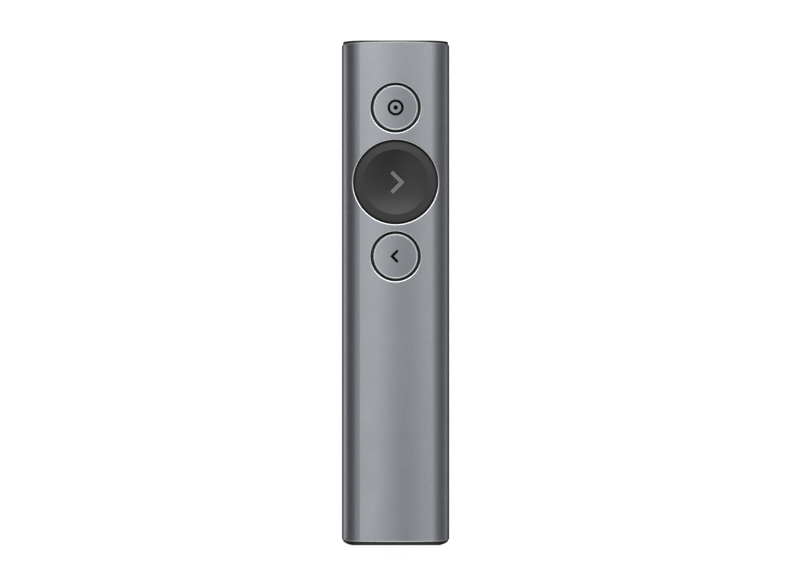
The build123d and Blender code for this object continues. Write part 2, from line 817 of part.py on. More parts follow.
def make_plug_contacts():
    """Four strips under the tongue, whose tails reach back over the receiver's board."""
    y_low = head_front_y - plug_a_buried - contact_tail
    y_high = receiver_tip_y - contact_from_tip
    strip = slab(middle_z, middle_z + contact_thickness, y_low, y_high, contact_width)
    return Compound([Pos(side * x, 0, 0) * strip for x in contact_offsets for side in (-1, 1)])


def make_receiver_board():
    y_high = head_front_y - plug_a_buried - end_gap
    return slab(middle_z - board_thickness, middle_z, receiver_board_tail_y, y_high, receiver_board_width)


# ---------------------------------------------------------------- all nodes

charger_y = port_end_y + part_gap + charger_chip_size[1] / 2
radio_y = charger_y + charger_chip_size[1] / 2 + part_gap + radio_chip_size[1] / 2
receiver_chip_y = (receiver_board_tail_y + head_front_y - plug_a_buried - contact_tail) / 2
side_chip_x = half_width / 2

nodes = {
    "sleeve": make_sleeve(),
    "front_end_cap": make_front_cap(),
    "receiver_dock": make_dock(),
    "chassis_tray": make_tray(),
    "button_frame": make_frame(),
    "main_board": make_board(),
    "board_screws": make_screws(),
    "charging_port_shell": make_port_shell(),
    "charging_port_tongue": make_port_tongue(),
    "radio_chip": chip(radio_chip_size, 0, radio_y, board_top_z),
    "motion_sensor": chip(sensor_size, side_chip_x, charger_y, board_top_z),
    "charger_chip": chip(charger_chip_size, -side_chip_x, charger_y, board_top_z),
    "crystal": chip(crystal_size, 0, charger_y, board_top_z),
    "chip_antenna": chip(antenna_size, 0, stack_nose_y - antenna_size[1], board_top_z),
    "board_passives": make_passives(),
    "battery_cell": make_cell(),
    "battery_foam": make_foam(),
    "protection_board": make_protection_board(),
    "battery_leads": make_leads(),
    "motor_can": make_motor_can(),
    "motor_base": make_motor_base(),
    "motor_rotor": make_rotor(),
    "receiver_upper_shell": make_receiver_shell(True),
    "receiver_lower_shell": make_receiver_shell(False),
    "receiver_board": make_receiver_board(),
    "receiver_chip": chip(receiver_chip_size, 0, receiver_chip_y, middle_z),
    "receiver_plug_shell": make_plug_shell(),
    "receiver_plug_tongue": make_plug_tongue(),
    "receiver_contacts": make_plug_contacts(),
    "pull_tab": make_pull_tab(),
    "pull_tab_pin": make_tab_pin(),
}
for button in buttons:
    nodes[button["name"] + "_cap"] = make_cap(button)
    nodes[button["name"] + "_plunger"] = make_plunger(button)
    nodes[button["name"] + "_actuator"] = make_actuator(button)
    nodes[button["name"] + "_switch"] = make_switch(button)
    nodes[button["name"] + "_dome"] = make_dome(button)

os.makedirs("parts", exist_ok=True)
for name, shape in nodes.items():
    export_step(shape, f"parts/{name}.step")
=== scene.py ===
import json
import math

import bmesh
import bpy
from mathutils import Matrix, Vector
from mathutils.bvhtree import BVHTree


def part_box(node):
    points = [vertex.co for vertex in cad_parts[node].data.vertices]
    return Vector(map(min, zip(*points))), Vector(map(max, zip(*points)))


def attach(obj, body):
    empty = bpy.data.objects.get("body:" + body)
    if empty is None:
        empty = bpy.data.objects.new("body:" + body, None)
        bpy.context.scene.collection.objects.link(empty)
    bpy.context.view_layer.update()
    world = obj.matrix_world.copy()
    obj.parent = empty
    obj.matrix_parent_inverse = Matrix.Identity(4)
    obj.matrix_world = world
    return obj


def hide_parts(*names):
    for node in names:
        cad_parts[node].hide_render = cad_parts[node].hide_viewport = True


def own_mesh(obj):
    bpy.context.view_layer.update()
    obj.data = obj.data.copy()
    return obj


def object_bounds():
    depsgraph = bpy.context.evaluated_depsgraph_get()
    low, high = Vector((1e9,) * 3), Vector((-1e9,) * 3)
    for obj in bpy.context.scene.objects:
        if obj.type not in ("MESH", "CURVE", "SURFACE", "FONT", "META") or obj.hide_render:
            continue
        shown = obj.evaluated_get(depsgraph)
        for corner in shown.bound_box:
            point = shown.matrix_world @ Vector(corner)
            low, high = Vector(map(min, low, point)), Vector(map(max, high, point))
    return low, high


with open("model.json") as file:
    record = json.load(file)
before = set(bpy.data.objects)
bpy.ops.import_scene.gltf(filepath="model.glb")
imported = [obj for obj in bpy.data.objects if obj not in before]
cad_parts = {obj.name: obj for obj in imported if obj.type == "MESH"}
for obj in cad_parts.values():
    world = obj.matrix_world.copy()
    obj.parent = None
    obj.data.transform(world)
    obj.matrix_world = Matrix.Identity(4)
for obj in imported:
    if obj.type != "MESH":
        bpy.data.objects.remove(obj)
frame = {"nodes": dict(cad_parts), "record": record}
CAD_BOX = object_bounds()

# A wireless presentation clicker: satin grey aluminium with bright cut edges, dark plastic ends,
# two metal buttons and a large dished one. Everything is in metres, in the frame's own axes.

MM = 0.001
NODES = frame["nodes"]

# ---------------------------------------------------------------- camera

CAMERA_HEIGHT = 700 * MM
CAMERA_X = -0.68 * MM
CAMERA_Y = -0.12 * MM
LENS = 121.4
SENSOR_WIDTH = 36.0

# ---------------------------------------------------------------- places, from the frame


def centre_of(node):
    low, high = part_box(node)
    return (low + high) / 2


def radius_of(node):
    low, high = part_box(node)
    return (high.y - low.y) / 2


SMALL_CAPS = ("pointer_cap", "back_cap")
BUTTON_GAPS = {"pointer_cap": 0.62 * MM, "next_cap": 0.35 * MM, "back_cap": 0.62 * MM}
LARGE_CREST = 2.1 * MM
CAP_LINE = 0.3 * MM
HOLE_LINE = (0.14 * MM, 0.31 * MM)
SLEEVE_CHAMFER = 0.3 * MM
NOSE_BOW_RADIUS = 280 * MM
EDGE_MARGIN = 0.02 * MM
LEAST_LIFT = 0.1

# ---------------------------------------------------------------- scene helpers


def add_object(name, data):
    """A new object in the scene, made of the given mesh, lamp or camera."""
    thing = bpy.data.objects.new(name, data)
    bpy.context.scene.collection.objects.link(thing)
    return thing


def mesh_from(bm, name):
    """Turns a bmesh into a mesh and frees it."""
    mesh = bpy.data.meshes.new(name)
    bm.to_mesh(mesh)
    bm.free()
    return mesh


# ---------------------------------------------------------------- node helpers

# The part of a noise's 0..1 that most of its values lie in, and a narrower part for fine grain.
NOISE_RANGE = (0.3, 0.7)
GRAIN_RANGE = (0.35, 0.65)


def add_node(tree, kind, inputs=None, **settings):
    """A shader node with its settings, whose inputs are given as values or as sockets to link."""
    node = tree.nodes.new(kind)
    for name, value in settings.items():
        setattr(node, name, value)
    for name, value in (inputs or {}).items():
        if isinstance(value, bpy.types.NodeSocket):
            tree.links.new(value, node.inputs[name])
        else:
            node.inputs[name].default_value = value
    return node


def math_node(tree, operation, first, second=0.0):
    return add_node(tree, "ShaderNodeMath", {0: first, 1: second}, operation=operation).outputs[0]


def spread(tree, value, low, high, out_low=0.0, out_high=1.0):
    """Maps value from low..high to out_low..out_high, clamped."""
    source = {"Value": value, "From Min": low, "From Max": high}
    target = {"To Min": out_low, "To Max": out_high}
    return add_node(tree, "ShaderNodeMapRange", source | target).outputs["Result"]


def mix_levels(tree, share, first, second):
    """first where share is 0, second where it is 1."""
    return add_node(tree, "ShaderNodeMix", {0: share, 2: first, 3: second}).outputs[0]


def mix_colours(tree, share, first, second):
    """first where share is 0, second where it is 1."""
    node = add_node(tree, "ShaderNodeMix", data_type="RGBA")
    for number, value in ((0, share), (6, first), (7, second)):
        socket = node.inputs[number]
        if isinstance(value, bpy.types.NodeSocket):
            tree.links.new(value, socket)
        else:
            socket.default_value = value
    return node.outputs[2]


def place(tree):
    """Position on the object, in metres."""
    return add_node(tree, "ShaderNodeTexCoord").outputs["Object"]


def stretched(tree, factors):
    """Position with each axis multiplied, for grain that runs along one of them."""
    mapping = add_node(tree, "ShaderNodeMapping", {"Vector": place(tree)})
    mapping.inputs["Scale"].default_value = factors
    return mapping.outputs["Vector"]


def noise(tree, size, detail=2.0, where=None):
    """Noise whose features are about size metres across."""
    inputs = {"Vector": where or place(tree), "Scale": 1 / size, "Detail": detail}
    return add_node(tree, "ShaderNodeTexNoise", inputs).outputs["Fac"]


def bump(tree, height, depth, normal=None):
    """Relief of depth metres from a 0..1 height."""
    inputs = {"Height": height, "Distance": depth, "Strength": 1.0}
    if normal is not None:
        inputs["Normal"] = normal
    return add_node(tree, "ShaderNodeBump", inputs).outputs["Normal"]


def grey(value, blue=0.0):
    """An opaque grey, slightly cooler where blue is above 0."""
    return (value, value * (1 + 0.4 * blue), value * (1 + blue), 1.0)


def shaded(colour, factor):
    """The colour made darker or lighter, up to white."""
    return tuple(min(1.0, factor * c) for c in colour[:3]) + (1.0,)


def new_material(name):
    material = bpy.data.materials.new(name)
    material.use_nodes = True
    tree = material.node_tree
    return material, tree, tree.nodes["Principled BSDF"]


def connect(tree, shader, **sockets):
    """Links or sets the shader's sockets, named with _ for spaces."""
    for name, value in sockets.items():
        socket = shader.inputs[name.replace("_", " ")]
        if isinstance(value, bpy.types.NodeSocket):
            tree.links.new(value, socket)
        else:
            socket.default_value = value


# ---------------------------------------------------------------- masks for cut edges


def distance_from_axis(tree, centre):
    """Distance from the vertical line through centre."""
    inputs = {0: place(tree), 1: (1, 1, 0)}
    flat = add_node(tree, "ShaderNodeVectorMath", inputs, operation="MULTIPLY").outputs[0]
    inputs = {0: flat, 1: (centre.x, centre.y, 0)}
    return add_node(tree, "ShaderNodeVectorMath", inputs, operation="DISTANCE").outputs["Value"]


def band(tree, value, low, high):
    """1 where value lies between low and high."""
    above = math_node(tree, "GREATER_THAN", value, low)
    below = math_node(tree, "LESS_THAN", value, high)
    return math_node(tree, "MULTIPLY", above, below)


def coordinate(tree, axis):
    split = add_node(tree, "ShaderNodeSeparateXYZ", {"Vector": place(tree)})
    return split.outputs[axis]


def facing_up(tree):
    """1 on faces that look outwards through the front, 0 on the walls of the holes."""
    normal = add_node(tree, "ShaderNodeNewGeometry").outputs["True Normal"]
    lift = add_node(tree, "ShaderNodeSeparateXYZ", {"Vector": normal}).outputs["Z"]
    return math_node(tree, "GREATER_THAN", lift, LEAST_LIFT)


def sleeve_edges(tree):
    """1 on the chamfers of the sleeve's ends and on a fine line in the rounded edge of each hole."""
    low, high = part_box("sleeve")
    tail_edge = low.y + SLEEVE_CHAMFER - EDGE_MARGIN
    tail = math_node(tree, "LESS_THAN", coordinate(tree, "Y"), tail_edge)
    bow_centre = Vector((0, high.y - NOSE_BOW_RADIUS, 0))
    bow_edge = NOSE_BOW_RADIUS - SLEEVE_CHAMFER + EDGE_MARGIN
    nose = math_node(tree, "GREATER_THAN", distance_from_axis(tree, bow_centre), bow_edge)
    total = math_node(tree, "MAXIMUM", tail, nose)
    for cap, gap in BUTTON_GAPS.items():
        hole = radius_of(cap) + gap
        away = distance_from_axis(tree, centre_of(cap))
        ring = band(tree, away, hole + HOLE_LINE[0], hole + HOLE_LINE[1])
        ring = math_node(tree, "MULTIPLY", ring, facing_up(tree))
        total = math_node(tree, "MAXIMUM", total, ring)
    return total


def cap_edges(tree):
    """1 on the chamfers of the two small caps and a hair's breadth of their faces."""
    total = None
    for cap in SMALL_CAPS:
        radius = radius_of(cap)
        away = distance_from_axis(tree, centre_of(cap))
        ring = band(tree, away, radius - CAP_LINE, radius + EDGE_MARGIN)
        ring = math_node(tree, "MULTIPLY", ring, facing_up(tree))
        total = ring if total is None else math_node(tree, "MAXIMUM", total, ring)
    return total


# ---------------------------------------------------------------- materials: aluminium

ANODISED = (0.262, 0.275, 0.298, 1.0)
BRIGHT_ALUMINIUM = (0.88, 0.89, 0.91, 1.0)
BLAST_GRAIN = 0.14 * MM
BLAST_DEPTH = 0.0035 * MM
BLAST_SPARKLE = 0.09
CLOUD_SIZE = 9 * MM
CLOUD_SHADE = 0.97
CLOUD_SATIN = 0.015
BUTTON_SHADE = 1.05


def anodised(name, edges, colour, roughness, edge_roughness):
    """Bead-blasted, dyed aluminium, with a bright diamond-cut finish where edges is 1."""
    material, tree, shader = new_material(name)
    mask = edges(tree)
    grain = noise(tree, BLAST_GRAIN, 3)
    cloud = noise(tree, CLOUD_SIZE, 2)
    sparkle = spread(tree, grain, *GRAIN_RANGE, 0.0, BLAST_SPARKLE)
    dye = mix_colours(tree, spread(tree, cloud, *NOISE_RANGE), colour, shaded(colour, CLOUD_SHADE))
    dye = mix_colours(tree, sparkle, dye, BRIGHT_ALUMINIUM)
    satin = spread(tree, cloud, *NOISE_RANGE, roughness - CLOUD_SATIN, roughness + CLOUD_SATIN)
    blasted = math_node(tree, "MULTIPLY", grain, math_node(tree, "SUBTRACT", 1.0, mask))
    connect(
        tree,
        shader,
        Metallic=1.0,
        Base_Color=mix_colours(tree, mask, dye, BRIGHT_ALUMINIUM),
        Roughness=mix_levels(tree, mask, satin, edge_roughness),
        Normal=bump(tree, blasted, BLAST_DEPTH),
    )
    return material


def anodised_grey(name):
    return anodised(name, sleeve_edges, ANODISED, 0.27, 0.30)


def small_button(name):
    return anodised(name, cap_edges, shaded(ANODISED, BUTTON_SHADE), 0.22, 0.5)


# ---------------------------------------------------------------- materials: plastics

FLOW_SIZE = 6 * MM
FLOW_SHADE = 1.25
FLOW_SATIN = 0.04
CREST_BLEND = 0.1 * MM
BUTTON_GRAIN = 0.11 * MM
BUTTON_DEPTH = 0.004 * MM
DISH_GRAIN = 0.35
RIM_COLOURS = (grey(0.040, -0.02), grey(0.050, -0.02))
DISH_COLOURS = (grey(0.003, 0.1), grey(0.005, 0.1))


def moulded(name, colour, roughness, grain_size, grain_depth, specular=0.5):
    """Moulded plastic with spark-eroded grain and faint flow marks."""
    material, tree, shader = new_material(name)
    grain = noise(tree, grain_size, 3)
    flow = noise(tree, FLOW_SIZE, 2)
    flow_share = spread(tree, flow, *NOISE_RANGE)
    tone = math_node(tree, "MULTIPLY", flow_share, spread(tree, grain, *NOISE_RANGE))
    connect(
        tree,
        shader,
        Base_Color=mix_colours(tree, tone, colour, shaded(colour, FLOW_SHADE)),
        Roughness=spread(tree, flow, *NOISE_RANGE, roughness - FLOW_SATIN, roughness + FLOW_SATIN),
        Specular_IOR_Level=specular,
        Normal=bump(tree, grain, grain_depth),
    )
    return material


def dark_plastic(name):
    return moulded(name, grey(0.005, 0.1), 0.42, 0.12 * MM, 0.004 * MM, specular=0.35)


def black_moulding(name):
    return moulded(name, grey(0.014), 0.55, 0.25 * MM, 0.008 * MM)


def plunger_moulding(name):
    return moulded(name, grey(0.30, 0.03), 0.45, 0.3 * MM, 0.006 * MM)


def switch_case(name):
    return moulded(name, grey(0.022), 0.5, 0.2 * MM, 0.006 * MM)


def receiver_plastic(name):
    return moulded(name, grey(0.017, 0.06), 0.38, 0.15 * MM, 0.005 * MM)


def plug_tongue(name):
    return moulded(name, grey(0.012), 0.35, 0.3 * MM, 0.004 * MM)


def chip_resin(name):
    return moulded(name, grey(0.018), 0.48, 0.08 * MM, 0.006 * MM)


def antenna_ceramic(name):
    return moulded(name, (0.62, 0.66, 0.64, 1.0), 0.3, 0.1 * MM, 0.003 * MM)


def passive_ceramic(name):
    return moulded(name, (0.42, 0.33, 0.22, 1.0), 0.4, 0.1 * MM, 0.004 * MM)


def large_button(name):
    """The large cap: a fine-grained sloping rim round a smoother dish."""
    material, tree, shader = new_material(name)
    crest = radius_of("next_cap") - LARGE_CREST
    away = distance_from_axis(tree, centre_of("next_cap"))
    rim = spread(tree, away, crest - CREST_BLEND, crest + CREST_BLEND)
    grain = noise(tree, BUTTON_GRAIN, 3)
    relief = math_node(tree, "MULTIPLY", grain, spread(tree, rim, 0, 1, DISH_GRAIN, 1.0))
    fine = bump(tree, relief, BUTTON_DEPTH)
    rim_colour = mix_colours(tree, spread(tree, grain, *GRAIN_RANGE), *RIM_COLOURS)
    dish_colour = mix_colours(tree, spread(tree, grain, *NOISE_RANGE), *DISH_COLOURS)
    connect(
        tree,
        shader,
        Base_Color=mix_colours(tree, rim, dish_colour, rim_colour),
        Roughness=spread(tree, rim, 0, 1, 0.28, 0.55),
        Specular_IOR_Level=spread(tree, rim, 0, 1, 0.46, 0.30),
        Normal=fine,
    )
    return material


# ---------------------------------------------------------------- materials: metals

HANDLING_SIZE = 0.2 * MM
HANDLING_DEPTH = 0.002 * MM
STAIN_SIZE = 3 * MM
STAIN_RANGE = (0.35, 0.7)
STAIN_SHADE = 0.82
FOIL_COLOURS = (grey(0.66, 0.03), grey(0.56, 0.03))


def drawn_metal(name, colour, roughness, grain=(1, 1, 1)):
    """Formed sheet or turned metal with fine handling marks along the axis of least grain."""
    material, tree, shader = new_material(name)
    marks = noise(tree, HANDLING_SIZE, 3, stretched(tree, grain))
    stain = spread(tree, noise(tree, STAIN_SIZE, 2), *STAIN_RANGE)
    connect(
        tree,
        shader,
        Metallic=1.0,
        Base_Color=mix_colours(tree, stain, colour, shaded(colour, STAIN_SHADE)),
        Roughness=spread(tree, marks, *NOISE_RANGE, roughness - 0.06, roughness + 0.08),
        Normal=bump(tree, marks, HANDLING_DEPTH),
    )
    return material


def steel(name):
    return drawn_metal(name, (0.62, 0.61, 0.59, 1.0), 0.28)


def dome_steel(name):
    return drawn_metal(name, (0.72, 0.71, 0.69, 1.0), 0.2)


def rotor_metal(name):
    return drawn_metal(name, (0.42, 0.40, 0.38, 1.0), 0.4)


def plug_steel(name):
    return drawn_metal(name, (0.70, 0.69, 0.67, 1.0), 0.24, grain=(1, 0.08, 1))


def gold_contact(name):
    return drawn_metal(name, (0.93, 0.68, 0.30, 1.0), 0.22, grain=(1, 0.1, 1))


def cell_foil(name):
    """The pouch cell's laminate, softly creased."""
    material, tree, shader = new_material(name)
    creases = noise(tree, 2.5 * MM, 4)
    weave = noise(tree, 0.15 * MM, 2)
    relief = bump(tree, weave, 0.002 * MM, bump(tree, creases, 0.06 * MM))
    connect(
        tree,
        shader,
        Metallic=1.0,
        Base_Color=mix_colours(tree, spread(tree, creases, *NOISE_RANGE), *FOIL_COLOURS),
        Roughness=spread(tree, creases, *NOISE_RANGE, 0.30, 0.42),
        Normal=relief,
    )
    return material


# ---------------------------------------------------------------- materials: the rest


def circuit_board(name):
    """Dark green solder mask over copper tracks, with the glass weave just showing."""
    material, tree, shader = new_material(name)
    cells = add_node(
        tree,
        "ShaderNodeTexVoronoi",
        {"Vector": place(tree), "Scale": 1 / (2.2 * MM)},
        distance="MANHATTAN",
    )
    rings = math_node(tree, "FRACT", math_node(tree, "MULTIPLY", cells.outputs["Distance"], 5.0))
    tracks = spread(tree, rings, 0.42, 0.5)
    glass = noise(tree, 0.3 * MM, 2, stretched(tree, (1, 0.3, 1)))
    mask = mix_colours(tree, glass, (0.006, 0.022, 0.014, 1.0), (0.010, 0.034, 0.020, 1.0))
    connect(
        tree,
        shader,
        Base_Color=mix_colours(tree, tracks, mask, (0.014, 0.052, 0.030, 1.0)),
        Roughness=spread(tree, glass, *NOISE_RANGE, 0.28, 0.38),
        Coat_Weight=0.3,
        Normal=bump(tree, tracks, 0.02 * MM),
    )
    return material


def foam(name):
    """Open-cell foam pad."""
    material, tree, shader = new_material(name)
    inputs = {"Vector": place(tree), "Scale": 1 / (0.35 * MM)}
    pores = add_node(tree, "ShaderNodeTexVoronoi", inputs).outputs["Distance"]
    connect(
        tree,
        shader,
        Base_Color=mix_colours(tree, spread(tree, pores, 0.1, 0.6), grey(0.05), grey(0.16)),
        Roughness=0.95,
        Normal=bump(tree, pores, 0.12 * MM),
    )
    return material


def lead_insulation(name):
    """Two wires in one node: red on the right, black on the left."""
    material, tree, shader = new_material(name)
    side = math_node(tree, "GREATER_THAN", coordinate(tree, "X"), 0.0)
    grain = noise(tree, 0.3 * MM, 2)
    red = mix_colours(tree, grain, (0.42, 0.012, 0.010, 1.0), (0.55, 0.02, 0.015, 1.0))
    connect(
        tree,
        shader,
        Base_Color=mix_colours(tree, side, grey(0.015), red),
        Roughness=spread(tree, grain, *NOISE_RANGE, 0.36, 0.46),
        Normal=bump(tree, grain, 0.006 * MM),
    )
    return material


def tab_tape(name):
    """Plain-woven black tape."""
    material, tree, shader = new_material(name)
    thread = 0.28 * MM
    waves = []
    for axis in ("X", "Y"):
        turn = math_node(tree, "MULTIPLY", coordinate(tree, axis), math.pi / thread)
        waves.append(math_node(tree, "SINE", turn))
    weave = math_node(tree, "ABSOLUTE", math_node(tree, "MULTIPLY", *waves))
    fibre = noise(tree, 0.05 * MM, 2)
    height = math_node(tree, "ADD", weave, math_node(tree, "MULTIPLY", fibre, 0.25))
    connect(
        tree,
        shader,
        Base_Color=mix_colours(tree, weave, grey(0.006), grey(0.028)),
        Roughness=0.85,
        Sheen_Weight=0.3,
        Normal=bump(tree, height, 0.05 * MM),
    )
    return material


def dark_ink(name):
    """Black laser marking, slightly matter than the metal round it."""
    material, tree, shader = new_material(name)
    grain = noise(tree, 0.1 * MM, 2)
    connect(
        tree,
        shader,
        Base_Color=mix_colours(tree, grain, grey(0.0008), grey(0.0016)),
        Specular_IOR_Level=0.03,
        Roughness=spread(tree, grain, *NOISE_RANGE, 0.5, 0.62),
        Normal=bump(tree, grain, 0.003 * MM),
    )
    return material


def pale_ink(name):
    """The grey inlay of the large button's arrow."""
    material, tree, shader = new_material(name)
    grain = noise(tree, 0.12 * MM, 2)
    connect(
        tree,
        shader,
        Base_Color=mix_colours(tree, grain, grey(0.128, 0.08), grey(0.163, 0.08)),
        Roughness=spread(tree, grain, *NOISE_RANGE, 0.4, 0.5),
        Normal=bump(tree, grain, 0.004 * MM),
    )
    return material


SLOT_MATERIALS = {
    make.__name__: make
    for make in (
        anodised_grey,
        small_button,
        large_button,
        dark_plastic,
        black_moulding,
        plunger_moulding,
        switch_case,
        receiver_plastic,
        plug_tongue,
        chip_resin,
        antenna_ceramic,
        passive_ceramic,
        steel,
        dome_steel,
        rotor_metal,
        plug_steel,
        gold_contact,
        cell_foil,
        circuit_board,
        foam,
        lead_insulation,
        tab_tape,
    )
}


def dress_frame():
    """Gives every CAD node the material of its slot. Returns the materials by slot."""
    made = {slot: make(slot + "_finish") for slot, make in SLOT_MATERIALS.items()}
    for part in frame["record"]["subparts"]:
        mesh = NODES[part["node"]].data
        mesh.materials.clear()
        mesh.materials.append(made[part["material_slot"]])
    return made


# ---------------------------------------------------------------- marks on the buttons

MARK_PROUD = 0.012 * MM
MARK_DEPTH = 0.05 * MM
MARK_STEP = 0.3 * MM
RAY_HEIGHT = 1 * MM
WELD_DISTANCE = 0.001 * MM
RING_STEPS = 72
DOT_STEPS = 36
ROUND_END_STEPS = 12


class Mark:
    """A thin flat sign on a button cap, which follows the cap's surface."""

    def __init__(self, cap, shift=(0.0, 0.0), proud=MARK_PROUD):
        mesh = NODES[cap].data
        corners = [v.co for v in mesh.vertices]
        self.surface = BVHTree.FromPolygons(corners, [p.vertices for p in mesh.polygons])
        middle = centre_of(cap)
        self.x = middle.x + shift[0]
        self.y = middle.y + shift[1]
        self.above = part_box(cap)[1].z + RAY_HEIGHT
        self.proud = proud
        self.bm = bmesh.new()

    def vertex(self, x, y):
        start = Vector((self.x + x, self.y + y, self.above))
        hit = self.surface.ray_cast(start, Vector((0, 0, -1)))[0]
        return self.bm.verts.new((hit.x, hit.y, hit.z + self.proud))

    def strip(self, sides):
        """A band of quads between matching points of two edges."""
        rows = [[self.vertex(*point) for point in pair] for pair in sides]
        for (a, b), (c, d) in zip(rows, rows[1:]):
            self.bm.faces.new((a, b, d, c))

    def ring(self, outer, inner, steps):
        """A flat ring, made of one round of quads."""
        turns = [2 * math.pi * n / steps for n in range(steps)]
        near = [self.vertex(inner * math.cos(t), inner * math.sin(t)) for t in turns]
        far = [self.vertex(outer * math.cos(t), outer * math.sin(t)) for t in turns]
        for n in range(steps):
            m = (n + 1) % steps
            self.bm.faces.new((near[n], near[m], far[m], far[n]))

    def disc(self, radius, steps, centre=(0.0, 0.0), start=0.0, sweep=2 * math.pi):
        """A fan of triangles: a whole disc, or a part of one."""
        x, y = centre
        hub = self.vertex(x, y)
        angles = [start + sweep * n / steps for n in range(steps + 1)]
        rim = [self.vertex(x + radius * math.cos(a), y + radius * math.sin(a)) for a in angles]
        for a, b in zip(rim, rim[1:]):
            self.bm.faces.new((hub, a, b))

    def finish(self, name, material, body):
        bmesh.ops.remove_doubles(self.bm, verts=self.bm.verts, dist=WELD_DISTANCE)
        bmesh.ops.recalc_face_normals(self.bm, faces=self.bm.faces)
        if sum(face.normal.z for face in self.bm.faces) < 0:
            bmesh.ops.reverse_faces(self.bm, faces=self.bm.faces)
        mesh = mesh_from(self.bm, name)
        mesh.materials.append(material)
        piece = add_object(name, mesh)
        thickness = piece.modifiers.new("thickness", "SOLIDIFY")
        thickness.thickness = MARK_DEPTH
        thickness.offset = -1
        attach(piece, body)


def chevron(mark, reach, rise, stroke, direction, round_ends=False):
    """An arrow head of two mitred strokes.

    reach and rise are those of the line along a stroke's middle.
    """
    half = stroke / 2
    slope = math.atan2(rise, reach)
    across = Vector((math.sin(slope), math.cos(slope))) * half
    mitre = Vector((half / math.sin(slope), 0))
    tip = Vector((reach / 2, 0))
    top = Vector((-reach / 2, rise))
    corners = [(top + across, top - across), (tip + mitre, tip - mitre)]
    steps = max(2, round(math.hypot(reach, rise) / MARK_STEP))
    sides = [
        tuple(corners[0][k].lerp(corners[1][k], n / steps) for k in (0, 1))
        for n in range(steps + 1)
    ]
    lower = [tuple(Vector((p.x, -p.y)) for p in pair) for pair in reversed(sides[:-1])]
    mark.strip([[(direction * p.x, p.y) for p in pair] for pair in sides + lower])
    if round_ends:
        for side in (1, -1):
            start = math.atan2(side * across.y, direction * across.x)
            sweep = direction * side * math.pi
            mark.disc(half, ROUND_END_STEPS, (direction * top.x, side * top.y), start, sweep)


POINTER_RING = 2.1 * MM
POINTER_STROKE = 0.66 * MM
POINTER_DOT = 0.6 * MM
NEXT_SHIFT = (0.28 * MM, -0.04 * MM)
NEXT_REACH = 2.64 * MM
NEXT_RISE = 2.65 * MM
NEXT_STROKE = 1.06 * MM
# A dark outline under the next arrow, wider than it and shifted a little left and towards the nose:
# painted shadow along the arrow's upper edges.
NEXT_SHADOW_WIDTH = 0.22 * MM
NEXT_SHADOW_SHIFT = (NEXT_SHIFT[0] - 0.04 * MM, NEXT_SHIFT[1] + 0.1 * MM)
BACK_SHIFT = (-0.28 * MM, 0.0)
BACK_REACH = 1.3 * MM
BACK_RISE = 1.33 * MM
BACK_STROKE = 0.71 * MM


def make_marks():
    ink = dark_ink("dark_ink_finish")
    inlay = pale_ink("pale_ink_finish")
    pointer = Mark("pointer_cap")
    pointer.ring(POINTER_RING, POINTER_RING - POINTER_STROKE, RING_STEPS)
    pointer.disc(POINTER_DOT, DOT_STEPS)
    pointer.finish("pointer_mark", ink, "pointer_button")
    # Painted shadow: dark ink under the arrow, showing only along its upper edges.
    painted_shadow = Mark("next_cap", NEXT_SHADOW_SHIFT, MARK_PROUD / 2)
    chevron(painted_shadow, NEXT_REACH, NEXT_RISE, NEXT_STROKE + NEXT_SHADOW_WIDTH, 1)
    painted_shadow.finish("next_mark_painted_shadow", ink, "next_button")
    arrow = Mark("next_cap", NEXT_SHIFT, 2 * MARK_PROUD)
    chevron(arrow, NEXT_REACH, NEXT_RISE, NEXT_STROKE, 1)
    arrow.finish("next_mark", inlay, "next_button")
    back = Mark("back_cap", BACK_SHIFT)
    chevron(back, BACK_REACH, BACK_RISE, BACK_STROKE, -1, round_ends=True)
    back.finish("back_mark", ink, "back_button")


# ---------------------------------------------------------------- snap domes

DOME_METAL = 0.05 * MM
DOME_TRIM = 0.12 * MM
DOME_ROWS = 8
DOME_STEPS = 40


def dome_sheet(low, high):
    """The dome's sheet, which fills the CAD dome's box and is cut back between its four feet."""
    middle = (low + high) / 2
    radius = (high.x - low.x) / 2
    rise = high.z - low.z - DOME_METAL
    bm = bmesh.new()
    rows = []
    for r in range(DOME_ROWS + 1):
        share = r / DOME_ROWS
        row = []
        for s in range(DOME_STEPS):
            turn = 2 * math.pi * s / DOME_STEPS
            reach = radius * share - DOME_TRIM * share**4 * (1 - math.cos(4 * turn)) / 2
            x = middle.x + reach * math.cos(turn)
            y = middle.y + reach * math.sin(turn)
            z = low.z + DOME_METAL + rise * (1 - (reach / radius) ** 2)
            row.append(bm.verts.new((x, y, z)))
        rows.append(row)
    for inner, outer in zip(rows, rows[1:]):
        for s in range(DOME_STEPS):
            t = (s + 1) % DOME_STEPS
            bm.faces.new((inner[s], outer[s], outer[t], inner[t]))
    return bm


def make_dome(button, material):
    """A four-footed snap dome, made in place of the CAD dome and put on the handset."""
    node = button + "_dome"
    low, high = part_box(node)
    bm = dome_sheet(low, high)
    bmesh.ops.remove_doubles(bm, verts=bm.verts, dist=WELD_DISTANCE)
    bmesh.ops.solidify(bm, geom=bm.faces[:], thickness=DOME_METAL)
    for face in bm.faces:
        face.smooth = True
    mesh = mesh_from(bm, node + "_spring")
    mesh.materials.append(material)
    piece = add_object(node + "_spring", mesh)
    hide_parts(node)
    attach(piece, "handset")
    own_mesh(piece)


# ---------------------------------------------------------------- floor, light and camera

FLOOR_RADIUS = 12.0
FLOOR_SEGMENTS = 96
FLOOR_DIFFUSE = 0.30
FLOOR_GLOW = 0.86
